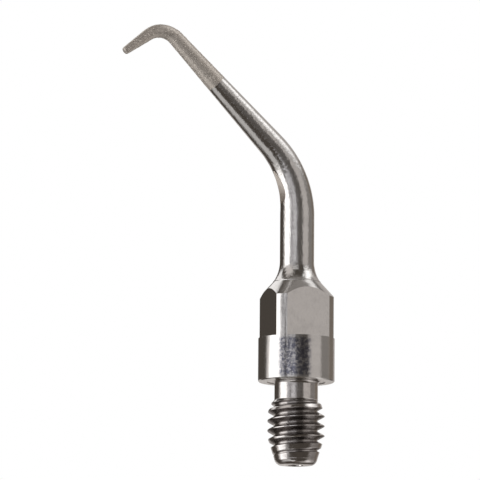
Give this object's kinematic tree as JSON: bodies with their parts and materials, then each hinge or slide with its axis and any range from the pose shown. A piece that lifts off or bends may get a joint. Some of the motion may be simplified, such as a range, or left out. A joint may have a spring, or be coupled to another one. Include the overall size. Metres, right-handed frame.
{
  "type": "ultrasonic scaler tip",
  "caption": "Screw-in dental scaler tip: threaded stud, collar with wrench flats, bent tapered shank and a hooked, diamond-coated working end.",
  "frame": {"origin": "centre of the seat face, the underside of the collar that stops against the handpiece", "axes": "+Z along the stud and the straight rod, towards the working end; the shank bends towards -X; two opposite wrench flats face +Y and -Y"},
  "size_m": [0.0138, 0.0046, 0.0266],
  "materials": {
    "turned_steel": "bright turned and thread-rolled stainless steel",
    "polished_steel": "polished stainless steel",
    "diamond_nickel": "satin warm grey nickel bond with fine diamond grit"
  },
  "bodies": {
    "root": {"threaded_stud": "turned_steel", "wrench_hub": "polished_steel", "curved_shank": "polished_steel", "diamond_coating": "diamond_nickel"}
  },
  "joints": []
}
